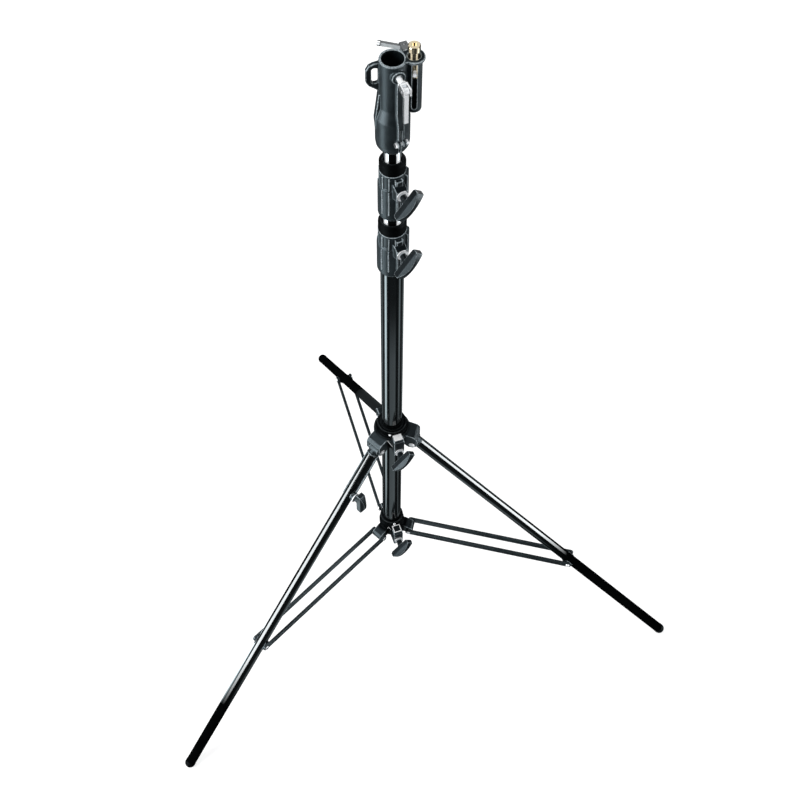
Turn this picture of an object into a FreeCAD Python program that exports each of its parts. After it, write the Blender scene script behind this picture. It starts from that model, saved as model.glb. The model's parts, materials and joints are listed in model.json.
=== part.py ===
import FreeCAD, Part
import math
import os
import re

import Sketcher
from FreeCAD import Placement, Rotation, Vector

# Three-section lighting stand: a folding tripod base with one levelling leg, a black base
# column, two chrome risers with clamp locks, and a cast head with a socket and a side stud.
# Frame: origin on the floor under the column, +Z up along the column.  Units: millimetres.

DIMENSIONS = {
    # running and fixed fits
    "running_gap": 0.05,
    "fixed_gap": 0.05,
    # column and risers
    "base_od": 35.0,
    "base_bore": 31.0,
    "base_low": 231.0,
    "base_high": 1100.0,
    "mid_od": 30.0,
    "mid_bore": 27.0,
    "mid_low": 252.0,
    "mid_high": 1222.0,
    "top_od": 25.0,
    "top_bore": 22.0,
    "top_low": 274.0,
    "top_high": 1344.0,
    # tripod linkage
    "leg_azimuth": 226.6,
    "upper_pivot_height": 555.0,
    "upper_pivot_radius": 39.5,
    "lower_pivot_height": 225.0,
    "lower_pivot_radius": 37.0,
    "leg_to_brace": 450.0,
    "brace_span": 314.0,
    "leg_od": 19.0,
    "leg_bore": 16.0,
    "leg_start": 12.0,
    "leg_end": 752.0,
    "foot_centre_height": 9.3,
    "foot_radius": 9.9,
    "foot_stem": 22.0,
    "levelling_start": 15.0,
    "levelling_travel": 50.0,
    # clamps
    "collar_clamp_azimuth": 289.0,
    "lock_clamp_azimuth": 296.0,
    # collars, heights counted from the pivot plane
    "bush_wall": 2.0,
    "upper_hub_radius": 25.0,
    "upper_hub_low": -10.0,
    "upper_hub_high": 42.0,
    "upper_skirt_radius": 31.5,
    "upper_skirt_low": 3.0,
    "upper_skirt_high": 28.0,
    "upper_notch_high": 24.0,
    "hood_width": 30.6,
    "hood_slot": 20.6,
    "hood_reach": 47.5,
    "hood_top": 23.0,
    "hood_roof": 12.0,
    "hood_tab": 9.0,
    "upper_lug_reach": 40.5,
    "upper_lug_low": -10.0,
    "upper_lug_high": 33.0,
    "upper_plate_start": 25.4,
    "lower_hub_radius": 21.8,
    "lower_hub_low": -14.0,
    "lower_hub_high": 36.0,
    "lower_skirt_radius": 23.8,
    "lower_skirt_low": -4.0,
    "lower_skirt_high": 24.0,
    "lower_notch_high": 20.0,
    "arm_width": 21.0,
    "arm_reach": 44.0,
    "arm_top": 9.0,
    "arm_round": 7.5,
    "lower_lug_reach": 42.0,
    "lower_lug_low": -14.0,
    "lower_lug_high": 26.0,
    "lower_plate_start": 23.4,
    "lug_width": 18.0,
    "plate_side": 15.0,
    "plate_thick": 1.2,
    # pins and screws
    "upper_pin_radius": 3.0,
    "lower_pin_radius": 2.5,
    "pin_head_radius": 4.2,
    "pin_head_thick": 1.6,
    "screw_radius": 4.0,
    "washer_radius": 8.5,
    "washer_thick": 1.6,
    # braces
    "strap_offset": 13.6,
    "strap_thick": 4.4,
    "strap_half_height": 6.2,
    "strap_groove": 1.2,
    # saddle brackets on the legs
    "saddle_half_width": 11.1,
    "saddle_length": 17.0,
    "saddle_top": 3.5,
    # levelling bracket
    "trough_radius": 12.0,
    "trough_start": 12.0,
    "trough_lip": 0.5,
    "clamp_station": 100.0,
    "clamp_band": 14.0,
    "levelling_boss": 14.0,
    # clamp knobs
    "knob_hub_radius": 6.0,
    "collar_knob_stem": 12.0,
    "lock_knob_stem": 12.0,
    "levelling_knob_stem": 7.5,
    "knob_half_length": 25.0,
    "knob_shoulder": 9.5,
    "knob_depth": 16.5,
    "knob_thick": 12.5,
    "knob_lip": 5.0,
    "knob_tilt": 52.0,
    # riser locks, heights counted from the bottom of each lock
    "lower_lock_base": 1018.0,
    "upper_lock_base": 1138.0,
    "lock_height": 107.0,
    "lock_cap_height": 20.0,
    "lock_step_height": 60.0,
    "lock_clamp_height": 62.0,
    "lower_lock_radius": 22.4,
    "upper_lock_radius": 20.4,
    "lock_step": 1.8,
    "lock_lug_reach": 10.0,
    # head
    "head_low": 1266.0,
    "head_high": 1415.0,
    "socket_bore": 28.6,
    "socket_depth": 60.0,
    "socket_radius": 17.6,
    "head_body_radius": 22.8,
    "shoulder_low": 1322.0,
    "shoulder_high": 1341.0,
    "head_rib_azimuth": 296.0,
    "head_clamp_azimuth": 291.5,
    "head_clamp_height": 1400.0,
    "stud_azimuth": 10.0,
    "stud_offset": 26.3,
    "stud_od": 15.9,
    "stud_neck_od": 11.0,
    "stud_low": 1384.0,
    "stud_high": 1432.0,
    "stud_head_high": 8.0,
    "stud_ring_radius": 14.0,
    "stud_case_radius": 10.6,
    "stud_case_low": 1330.0,
    "stud_slot_width": 6.0,
    "stud_slot_shift": 1.0,
    "stud_screw_azimuth": 111.0,
    "stud_screw_height": 1399.0,
    "stud_lever_azimuth": 166.0,
    "stop_screw_height": 1396.5,
    "pinch_height": 1293.0,
    "pinch_radius": 25.8,
    "pinch_half_length": 6.5,
}

UP = Vector(0, 0, 1)
EAST = Vector(1, 0, 0)
NORTH = Vector(0, 1, 0)

doc = FreeCAD.newDocument("lighting_stand")
sheet = doc.addObject("Spreadsheet::Sheet", "dims")
for row, (alias, amount) in enumerate(DIMENSIONS.items(), start=1):
    sheet.set(f"A{row}", str(amount))
    sheet.setAlias(f"A{row}", alias)
doc.recompute()

nodes = []


# ---------------------------------------------------------------- sheet access

def bound(expression):
    """The expression with every sheet alias in it written as a cell of the sheet."""
    def cell(found):
        word = found.group()
        return "dims." + word if word in DIMENSIONS else word
    return re.sub(r"[a-z_]+", cell, str(expression))


def amount_of(expression):
    """The expression's present value, in millimetres or degrees."""
    return float(sheet.evalExpression(bound(expression).replace("dims.", "")))


def bind_place(shape, at):
    for axis, expression in zip("xyz", at):
        if expression != 0:
            shape.setExpression("Placement.Base." + axis, bound(expression))


# ------------------------------------------------------------ Part primitives

def cylinder(name, radius, height, at=(0, 0, 0), along=UP):
    shape = doc.addObject("Part::Cylinder", name)
    shape.setExpression("Radius", bound(radius))
    shape.setExpression("Height", bound(height))
    shape.Placement.Rotation = Rotation(UP, along)
    bind_place(shape, at)
    return shape


def cone(name, low_radius, high_radius, height, at=(0, 0, 0), along=UP):
    shape = doc.addObject("Part::Cone", name)
    shape.setExpression("Radius1", bound(low_radius))
    shape.setExpression("Radius2", bound(high_radius))
    shape.setExpression("Height", bound(height))
    shape.Placement.Rotation = Rotation(UP, along)
    bind_place(shape, at)
    return shape


def block(name, low, high):
    """A box between two corners, each given as three expressions."""
    shape = doc.addObject("Part::Box", name)
    for size, start, end in zip(("Length", "Width", "Height"), low, high):
        shape.setExpression(size, bound(f"({end}) - ({start})"))
    bind_place(shape, low)
    return shape


def fuse(name, shapes):
    joined = doc.addObject("Part::MultiFuse", name)
    joined.Shapes = shapes
    joined.Refine = True
    return joined


def cut(name, base, tools):
    tool = tools[0] if len(tools) == 1 else fuse(name + "_tools", tools)
    result = doc.addObject("Part::Cut", name)
    result.Base = base
    result.Tool = tool
    result.Refine = True
    return result


def group(name, shapes):
    """Separate solids that move together, or one solid that gets a placing of its own."""
    gathered = doc.addObject("Part::Compound", name)
    gathered.Links = shapes
    return gathered


def tube(name, outer, bore, low, high):
    """A round tube on the column axis between two heights."""
    wall = cylinder(name + "_wall", f"({outer}) / 2", f"({high}) - ({low})", (0, 0, low))
    hollow = cylinder(name + "_bore", f"({bore}) / 2", f"({high}) - ({low}) + 2", (0, 0, f"({low}) - 1"))
    return cut(name, wall, [hollow])


# ------------------------------------------------- sketches and PartDesign bodies

def new_body(name):
    return doc.addObject("PartDesign::Body", name)


def plane_of(owner, role):
    return next(item for item in owner.Origin.OriginFeatures if item.Role == role)


def pin_point(sketch, geometry, position, across, upward):
    """Hold one sketch point at two distances from the sketch origin."""
    for kind, axis_line, expression in (("DistanceX", -2, across), ("DistanceY", -1, upward)):
        if amount_of(expression) == 0:
            sketch.addConstraint(Sketcher.Constraint("PointOnObject", geometry, position, axis_line))
            continue
        rule = Sketcher.Constraint(kind, -1, 1, geometry, position, amount_of(expression))
        index = sketch.addConstraint(rule)
        sketch.setExpression(f"Constraints[{index}]", bound(expression))


def outline(owner, name, role, points, lift=None):
    """A closed sketch on one origin plane.

    A point is (across, up) and starts a straight side, or (across, up, (centre across,
    centre up), turn) and starts an arc about that centre, with turn 1 anticlockwise.
    """
    sketch = owner.newObject("Sketcher::SketchObject", name)
    sketch.AttachmentSupport = [(plane_of(owner, role), "")]
    sketch.MapMode = "FlatFace"
    if lift is not None:
        sketch.setExpression("AttachmentOffset.Base.z", bound(lift))
    spots = [Vector(amount_of(point[0]), amount_of(point[1]), 0) for point in points]
    starts = []
    ends = []
    for number, point in enumerate(points):
        here, there = spots[number], spots[(number + 1) % len(points)]
        if len(point) == 2:
            sketch.addGeometry(Part.LineSegment(here, there))
            starts.append(1)
            ends.append(2)
            continue
        centre = Vector(amount_of(point[2][0]), amount_of(point[2][1]), 0)
        first, last = (here, there) if point[3] > 0 else (there, here)
        circle = Part.Circle(centre, UP, (here - centre).Length)
        angles = [math.atan2(spot.y - centre.y, spot.x - centre.x) for spot in (first, last)]
        if angles[1] <= angles[0]:
            angles[1] += 2 * math.pi
        sketch.addGeometry(Part.ArcOfCircle(circle, *angles))
        starts.append(1 if point[3] > 0 else 2)
        ends.append(2 if point[3] > 0 else 1)
    for number, point in enumerate(points):
        before = (number - 1) % len(points)
        sketch.addConstraint(Sketcher.Constraint("Coincident", before, ends[before], number, starts[number]))
        pin_point(sketch, number, starts[number], point[0], point[1])
    for number, point in enumerate(points):
        if len(point) == 2:
            continue
        chord = spots[(number + 1) % len(points)] - spots[number]
        kind, part = ("DistanceX", 0) if abs(chord.y) > abs(chord.x) else ("DistanceY", 1)
        expression = point[2][part]
        if amount_of(expression) == 0:
            axis_line = -2 if part == 0 else -1
            sketch.addConstraint(Sketcher.Constraint("PointOnObject", number, 3, axis_line))
            continue
        rule = Sketcher.Constraint(kind, -1, 1, number, 3, amount_of(expression))
        index = sketch.addConstraint(rule)
        sketch.setExpression(f"Constraints[{index}]", bound(expression))
    return sketch


def pad(owner, name, sketch, length):
    """A pad of the given full length, half on each side of the sketch."""
    feature = owner.newObject("PartDesign::Pad", name)
    feature.Profile = sketch
    feature.SideType = "Symmetric"
    feature.setExpression("Length", bound(length))
    return feature


def pocket(owner, name, sketch, length):
    """A pocket of the given full length, half on each side of the sketch."""
    feature = owner.newObject("PartDesign::Pocket", name)
    feature.Profile = sketch
    feature.SideType = "Symmetric"
    feature.setExpression("Length", bound(length))
    return feature


def turned(name, points):
    """A body of revolution about Z; the points are (radius, height)."""
    owner = new_body(name)
    feature = owner.newObject("PartDesign::Revolution", name + "_turn")
    sketch = outline(owner, name + "_profile", "XZ_Plane", points)
    feature.Profile = sketch
    feature.ReferenceAxis = (sketch, ["V_Axis"])
    feature.Angle = 360
    return owner


def slab(name, points, thickness, role="XZ_Plane"):
    """A flat piece with the given outline, centred on an origin plane."""
    owner = new_body(name)
    sketch = outline(owner, name + "_outline", role, points)
    pad(owner, name + "_pad", sketch, thickness)
    return owner


def node(shape):
    nodes.append(shape)
    return shape


# ------------------------------------------------------------------- placings

def about_column(azimuth, height):
    """A frame on the column axis whose X points along the azimuth."""
    return Placement(Vector(0, 0, height), Rotation(UP, azimuth))


def outward(azimuth):
    angle = math.radians(azimuth)
    return Vector(math.cos(angle), math.sin(angle), 0)


def linkage_angles(pivot_rise):
    """Leg angle from vertical and brace rise, in degrees, for a distance between collars."""
    leg, brace = amount_of("leg_to_brace"), amount_of("brace_span")
    lean = math.atan2(amount_of("upper_pivot_radius - lower_pivot_radius"), pivot_rise)
    span = math.hypot(amount_of("upper_pivot_radius - lower_pivot_radius"), pivot_rise)
    at_top = math.acos((leg ** 2 + span ** 2 - brace ** 2) / (2 * leg * span)) - lean
    drop = pivot_rise - leg * math.cos(at_top)
    return math.degrees(at_top), math.degrees(math.asin(drop / brace))


REST_RISE = amount_of("upper_pivot_height - lower_pivot_height")
LEG_ANGLE, BRACE_ANGLE = linkage_angles(REST_RISE)
FOOT_STATION = amount_of("upper_pivot_height - foot_centre_height") / math.cos(math.radians(LEG_ANGLE))


def leg_frame(number):
    """Origin at the leg's pivot, X down the leg, Y sideways, Z out of its upper side."""
    azimuth = amount_of("leg_azimuth") + 120 * number
    angle = math.radians(LEG_ANGLE)
    out = outward(azimuth)
    down_leg = out * math.sin(angle) - UP * math.cos(angle)
    side = UP.cross(out)
    origin = out * amount_of("upper_pivot_radius") + UP * amount_of("upper_pivot_height")
    return Placement(origin, Rotation(down_leg, side, down_leg.cross(side), "XYZ"))


def brace_frame(number):
    """Origin at the brace's lower pivot, X along the brace, Y sideways."""
    azimuth = amount_of("leg_azimuth") + 120 * number
    angle = math.radians(BRACE_ANGLE)
    out = outward(azimuth)
    along = out * math.cos(angle) + UP * math.sin(angle)
    side = UP.cross(out)
    origin = out * amount_of("lower_pivot_radius") + UP * amount_of("lower_pivot_height")
    return Placement(origin, Rotation(along, side, along.cross(side), "XYZ"))


# ------------------------------------------------------- column and risers

def plug(name, face_radius, spigot_radius, low, face, spigot):
    """A turned plug: a full-width face at the bottom and a spigot inside the tube above it."""
    return turned(name, [
        (0, low), (face_radius, low), (face_radius, f"{low} + {face}"),
        (spigot_radius, f"{low} + {face}"), (spigot_radius, f"{low} + {face} + {spigot}"),
        (0, f"{low} + {face} + {spigot}"),
    ])


def column_tubes():
    node(tube("base_tube", "base_od", "base_bore", "base_low", "base_high"))
    node(tube("mid_riser_tube", "mid_od", "mid_bore", "mid_low", "mid_high"))
    node(tube("top_riser_tube", "top_od", "top_bore", "top_low", "top_high"))
    node(plug("base_plug", "base_od / 2", "base_bore / 2 - fixed_gap", "base_low - 5", 5, 10))
    node(plug("mid_riser_guide", "base_bore / 2 - running_gap", "mid_bore / 2 - fixed_gap",
              "mid_low - 8", 8, 12))
    node(plug("top_riser_guide", "mid_bore / 2 - running_gap", "top_bore / 2 - fixed_gap",
              "top_low - 8", 8, 12))


# ------------------------------------------------------------------ clamp knobs

def clamp_knob(name, placing, stem, reach):
    """A half-moon handle on a stem, with its washer and screw.

    The frame has X outward and Y along the handle.  stem is the distance from the washer's
    outer face to the handle; reach is how far the screw goes in behind the lug's face.
    """
    start = f"washer_thick + {stem}"
    half = "knob_half_length"
    shoulder = f"{start} + knob_shoulder"
    crown = f"{start} + knob_depth"
    bulge = "(knob_depth - knob_shoulder)"
    arc_radius = f"({half} ^ 2 + {bulge} ^ 2) / (2 * {bulge})"
    half_moon = slab(name + "_half_moon", [
        (start, f"-{half} + 3"), (f"{start} + 2", f"-{half}"),
        (shoulder, f"-{half}", (f"{crown} - {arc_radius}", 0), 1),
        (shoulder, half), (f"{start} + 2", half), (start, f"{half} - 3"),
    ], "2 * knob_thick", "XY_Plane")
    taper = slab(name + "_taper", [
        (start, "-knob_thick / 2"), (shoulder, "-knob_thick / 2"), (f"{crown} + 1", "-knob_lip / 2"),
        (f"{crown} + 1", "knob_lip / 2"), (shoulder, "knob_thick / 2"), (start, "knob_thick / 2"),
    ], "2 * knob_half_length + 4")
    handle = doc.addObject("Part::Common", name + "_blade")
    handle.Base = half_moon
    handle.Tool = taper
    stem_body = cone(name + "_stem", "knob_hub_radius - 1", "knob_hub_radius", f"{stem} + 3",
                     ("washer_thick", 0, 0), EAST)
    grip = fuse(name + "_solid", [handle, stem_body])
    screw_bore = cylinder(name + "_screw_bore", "screw_radius + fixed_gap", f"{stem} + 6",
                          ("washer_thick - 1", 0, 0), EAST)
    grip_bored = cut(name, grip, [screw_bore])
    grip_bored.Placement = placing
    node(grip_bored)
    washer = cylinder(name + "_washer", "washer_radius", "washer_thick - 0.1", (0.05, 0, 0), EAST)
    shank = cylinder(name + "_shank", "screw_radius", f"{reach} + {stem} + 4", (f"-({reach})", 0, 0), EAST)
    screw = fuse(name + "_screw", [washer, shank])
    screw.Placement = placing
    node(screw)


def tilted_knob_frame(azimuth, height, face):
    """A knob's frame on a face that looks outward, with the handle's usual tilt."""
    turned_knob = Placement(Vector(face, 0, 0), Rotation(EAST, amount_of("knob_tilt")))
    return about_column(azimuth, height) * turned_knob


# ------------------------------------------------------------------------ collars

def bush(name, low, high):
    """The sliding liner between a collar and the base column."""
    node(turned(name, [
        ("base_od / 2 + running_gap", low), ("base_od / 2 + bush_wall", low),
        ("base_od / 2 + bush_wall", high), ("base_od / 2 + running_gap", high),
    ]))


def notch(name, low, high, half_width):
    """A gable-shaped opening under a web, with its ridge along X."""
    owner = new_body(name)
    sketch = outline(owner, name + "_gable", "YZ_Plane", [
        (f"-({half_width})", f"{low} - 12"), (half_width, f"{low} - 12"),
        (half_width, f"{low} + 2"), (0, high), (f"-({half_width})", f"{low} + 2"),
    ])
    pad(owner, name + "_pad", sketch, 140)
    half = block(name + "_half", (0, -40, -60), (80, 40, 60))
    wedge = doc.addObject("Part::Common", name + "_wedge")
    wedge.Base = owner
    wedge.Tool = half
    return wedge


def collar_casting(prefix, arm, lug, arm_holes):
    """One cast collar: hub, skirt, three arms and a clamp lug, about the pivot plane."""
    pivot_height = f"{prefix}_pivot_height"
    hub = cylinder(prefix + "_hub", f"{prefix}_hub_radius", f"{prefix}_hub_high - {prefix}_hub_low",
                   (0, 0, f"{prefix}_hub_low"))
    skirt = cylinder(prefix + "_skirt", f"{prefix}_skirt_radius",
                     f"{prefix}_skirt_high - {prefix}_skirt_low - 4", (0, 0, f"{prefix}_skirt_low"))
    brow = cone(prefix + "_brow", f"{prefix}_skirt_radius",
                f"({prefix}_hub_radius + {prefix}_skirt_radius) / 2", 4, (0, 0, f"{prefix}_skirt_high - 4"))
    notches = []
    leg_azimuth = amount_of("leg_azimuth")
    for number, (azimuth, half_width) in enumerate(((30, 9), (90, 9), (180, 17), (300, 17))):
        opening = notch(f"{prefix}_notch_{number}", f"{prefix}_skirt_low", f"{prefix}_notch_high",
                        half_width)
        opening.Placement = about_column(leg_azimuth + azimuth, 0)
        notches.append(opening)
    webs = cut(prefix + "_webs", fuse(prefix + "_ring", [skirt, brow]), notches)
    arms = []
    for number in range(3):
        limb = arm(f"{prefix}_arm_{number}")
        limb.Placement = about_column(leg_azimuth + 120 * number, 0)
        arms.append(limb)
    lug_body = lug(prefix + "_lug")
    lug_body.Placement = about_column(amount_of("collar_clamp_azimuth"), 0)
    solid = fuse(prefix + "_collar_solid", [hub, webs, lug_body] + arms)
    bore = cylinder(prefix + "_collar_bore", "base_od / 2 + bush_wall + fixed_gap", 200, (0, 0, -100))
    openings = [bore]
    for number in range(3):
        hole = arm_holes(f"{prefix}_arm_hole_{number}")
        hole.Placement = about_column(leg_azimuth + 120 * number, 0)
        openings.append(hole)
    screw_hole = cylinder(prefix + "_clamp_hole", "screw_radius + running_gap", 60, (0, 0, 0), EAST)
    clamp_way = group(prefix + "_clamp_way", [screw_hole])
    clamp_way.Placement = about_column(amount_of("collar_clamp_azimuth"), 0)
    openings.append(clamp_way)
    casting = cut(prefix + "_collar", solid, openings)
    casting.setExpression("Placement.Base.z", bound(pivot_height))
    node(casting)


def lug_with_shelf(prefix):
    """A clamp lug with a flat top shelf and a sloping front, in a frame with X outward."""
    def build(name):
        reach, low, high = f"{prefix}_lug_reach", f"{prefix}_lug_low", f"{prefix}_lug_high"
        return slab(name, [
            (15, low), (f"{reach} - 2", low), (reach, f"{low} + 2"), (reach, f"{high} - 3"),
            (f"{reach} - 3", high), (15, high),
        ], "lug_width")
    return build


def hood(name):
    """An arm of the upper collar: a hood whose two cheeks carry the leg pin."""
    body = slab(name + "_form", [
        (12, "hood_top + 3"), (30, "hood_top + 3"), ("hood_reach - 5", "hood_top"),
        ("hood_reach", "hood_top - 6"), ("hood_reach", "-hood_tab + 6"),
        ("hood_reach - 6", "-hood_tab"), (32, "-hood_tab"), (26, "-hood_tab + 6"), (12, "-hood_tab + 6"),
    ], "hood_width")
    return group(name, [body])


def hood_opening(name):
    slot = block(name + "_slot", ("upper_hub_radius", "-hood_slot / 2", -80),
                 ("hood_reach + 20", "hood_slot / 2", "hood_roof"))
    pin_way = cylinder(name + "_pin", "upper_pin_radius + fixed_gap", 80,
                       ("upper_pivot_radius", 40, 0), -NORTH)
    return fuse(name, [slot, pin_way])


def stub(name):
    """An arm of the lower collar: a solid block with a rounded end between two straps."""
    body = slab(name + "_form", [
        (12, "arm_top + 5"), (26, "arm_top + 4"), ("lower_pivot_radius + 3", "arm_round"),
        ("lower_pivot_radius", "arm_round", ("lower_pivot_radius", 0), -1),
        ("lower_pivot_radius", "-arm_round"), (12, "-arm_round - 3"),
    ], "arm_width")
    return group(name, [body])


def stub_opening(name):
    pin_way = cylinder(name + "_pin", "lower_pin_radius + fixed_gap", 80,
                       ("lower_pivot_radius", 40, 0), -NORTH)
    return group(name, [pin_way])


def pivot_pins(name, prefix, half_length):
    """Three headed pins, one through each arm."""
    pins = []
    for number in range(3):
        tag = f"{name}_{number}"
        shank = cylinder(tag + "_shank", f"{prefix}_pin_radius", f"2 * ({half_length})",
                         (f"{prefix}_pivot_radius", half_length, 0), -NORTH)
        parts = [shank]
        for side in (1, -1):
            parts.append(cone(f"{tag}_head_{2 + side}", "pin_head_radius", "pin_head_radius - 1",
                              "pin_head_thick", (f"{prefix}_pivot_radius", f"{side} * ({half_length})", 0),
                              NORTH * side))
        pin = fuse(tag, parts)
        height = amount_of(f"{prefix}_pivot_height")
        pin.Placement = about_column(amount_of("leg_azimuth") + 120 * number, height)
        pins.append(pin)
    node(group(name, pins))


def lug_plate(name, prefix):
    """A blank square badge on the lug's shelf."""
    half = "plate_side / 2"
    top = f"{prefix}_lug_high"
    plate = block(name + "_blank", (f"{prefix}_plate_start", f"-{half}", f"{top} + 0.05"),
                  (f"{prefix}_lug_reach - 3.6", half, f"{top} + plate_thick"))
    holder = group(name, [plate])
    holder.Placement = about_column(amount_of("collar_clamp_azimuth"), amount_of(f"{prefix}_pivot_height"))
    node(holder)


def collars():
    collar_casting("upper", hood, lug_with_shelf("upper"), hood_opening)
    bush("upper_collar_bush", "upper_pivot_height + upper_hub_low", "upper_pivot_height + upper_hub_high - 1")
    pivot_pins("upper_pivot_pins", "upper", "hood_width / 2 + 0.2")
    lug_plate("upper_collar_plate", "upper")
    collar_casting("lower", stub, lug_with_shelf("lower"), stub_opening)
    bush("lower_collar_bush", "lower_pivot_height + lower_hub_low", "lower_pivot_height + lower_hub_high - 1")
    pivot_pins("lower_pivot_pins", "lower", "strap_offset + strap_thick / 2 + 0.2")
    lug_plate("lower_collar_plate", "lower")
    for prefix in ("upper", "lower"):
        placing = tilted_knob_frame(amount_of("collar_clamp_azimuth"), amount_of(f"{prefix}_pivot_height"),
                                    amount_of(f"{prefix}_lug_reach"))
        clamp_knob(f"{prefix}_collar_knob", placing, "collar_knob_stem",
                   f"{prefix}_lug_reach - base_od / 2 - bush_wall - 1")


# ------------------------------------------------------------------ legs and feet

def leg_eye(name):
    """The cast end of a leg: an eye on the pivot pin and a spigot inside the tube."""
    eye = cylinder(name + "_eye", "leg_od / 2", 19.6, (0, 9.8, 0), -NORTH)
    neck = cylinder(name + "_neck", "leg_od / 2", "leg_start - 0.05", (0, 0, 0), EAST)
    spigot = cylinder(name + "_spigot", "leg_bore / 2 - fixed_gap", "leg_start + 30", (0, 0, 0), EAST)
    hole = cylinder(name + "_hole", "upper_pin_radius + running_gap", 40, (0, 20, 0), -NORTH)
    return cut(name, fuse(name + "_solid", [eye, neck, spigot]), [hole])


def leg_tube(name, start):
    wall = cylinder(name + "_wall", "leg_od / 2", f"leg_end - ({start})", (start, 0, 0), EAST)
    hollow = cylinder(name + "_bore", "leg_bore / 2", f"leg_end - ({start}) + 2",
                      (f"({start}) - 1", 0, 0), EAST)
    return cut(name, wall, [hollow])


def saddle(name):
    """The bracket that a pair of straps meets: a saddle under the leg with two flat cheeks."""
    length = "saddle_length"
    start = f"leg_to_brace - {length} / 2"
    band = cylinder(name + "_band", "saddle_half_width - 0.1", length, (start, 0, 0), EAST)
    cheeks = block(name + "_cheeks", (start, "-saddle_half_width", -7), (f"leg_to_brace + {length} / 2",
                   "saddle_half_width", 7))
    hole = cylinder(name + "_hole", "leg_od / 2 + running_gap", 60, ("leg_to_brace - 30", 0, 0), EAST)
    mouth = block(name + "_mouth", ("leg_to_brace - 30", -20, "saddle_top"), ("leg_to_brace + 30", 20, 20))
    return cut(name, fuse(name + "_solid", [band, cheeks]), [hole, mouth])


def foot(name, placing):
    """A rubber tip pushed into the tube's end, rounded and worn flat where it meets the floor."""
    radius = "foot_radius"
    stem = "leg_bore / 2 - fixed_gap"
    shoulder = f"({FOOT_STATION}) - leg_end - fixed_gap"
    cap = turned(name + "_cap", [
        (0, f"-{radius}", (0, 0), 1), (radius, 0), (radius, shoulder),
        (stem, shoulder), (stem, "foot_stem"), (0, "foot_stem"),
    ])
    station = Placement(Vector(FOOT_STATION, 0, 0), Rotation(UP, -EAST))
    cap.Placement = placing * station
    floor = block(name + "_floor", (-900, -900, -60), (900, 900, 0))
    trimmed = cut(name, cap, [floor])
    node(trimmed)


def plain_leg(name, number):
    placing = leg_frame(number)
    for piece in (leg_tube(name + "_leg_tube", "leg_start"), leg_eye(name + "_leg_eye"),
                  saddle(name + "_leg_saddle")):
        piece.Placement = placing
        node(piece)
    foot(name + "_foot", placing)


def levelling_bracket(name, placing):
    """An eye and an open trough that the levelling leg slides in, ending in a clamp boss."""
    eye = cylinder(name + "_eye", "leg_od / 2", 19.6, (0, 9.8, 0), -NORTH)
    neck = cylinder(name + "_neck", "leg_od / 2 - 0.2", "trough_start + 1", (0, 0, 0), EAST)
    inner = "leg_od / 2 + running_gap"
    lip = "trough_lip"
    trough_end = "clamp_station + clamp_band / 2"
    trough = new_body(name + "_trough")
    wall = outline(trough, name + "_wall", "YZ_Plane", [
        (f"-sqrt(trough_radius ^ 2 - {lip} ^ 2)", lip, (0, 0), 1),
        (f"sqrt(trough_radius ^ 2 - {lip} ^ 2)", lip),
        (f"sqrt(({inner}) ^ 2 - {lip} ^ 2)", lip, (0, 0), -1),
        (f"-sqrt(({inner}) ^ 2 - {lip} ^ 2)", lip),
    ], f"(trough_start + {trough_end}) / 2")
    pad(trough, name + "_length", wall, f"{trough_end} - trough_start")
    back_stop = cylinder(name + "_back", f"{inner} + 0.5", 2.5, ("trough_start", 0, 0), EAST)
    station = Placement(Vector(amount_of("clamp_station"), 0, 0), Rotation(UP, NORTH))
    boss_blank = cylinder(name + "_boss_blank", 7.5, "levelling_boss")
    boss_blank.Placement = station
    bore = cylinder(name + "_bore", inner, 60, ("clamp_station - 30", 0, 0), EAST)
    boss = cut(name + "_boss", boss_blank, [bore])
    solid = fuse(name + "_solid", [eye, neck, trough, back_stop, boss])
    hole = cylinder(name + "_hole", "upper_pin_radius + running_gap", 40, (0, 20, 0), -NORTH)
    screw_hole = cylinder(name + "_screw_hole", "screw_radius + running_gap", 60)
    screw_hole.Placement = station
    piece = cut(name, solid, [hole, screw_hole])
    piece.Placement = placing
    node(piece)


def levelling_leg():
    placing = leg_frame(0)
    levelling_bracket("levelling_bracket", placing)
    slider = saddle("levelling_leg_saddle")
    slider.Placement = placing
    node(slider)
    inner = leg_tube("levelling_leg_tube", "levelling_start")
    inner.Placement = placing
    node(inner)
    foot("levelling_foot", placing)
    handle_way = placing.Rotation.inverted().multVec(UP)
    boss_face = Placement(Vector(amount_of("clamp_station"), amount_of("levelling_boss"), 0),
                          Rotation(NORTH, handle_way, NORTH.cross(handle_way), "XYZ"))
    clamp_knob("levelling_knob", placing * boss_face, "levelling_knob_stem", 4)


def legs():
    plain_leg("right", 1)
    plain_leg("rear", 2)
    levelling_leg()


# -------------------------------------------------------------------------- braces

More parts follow.
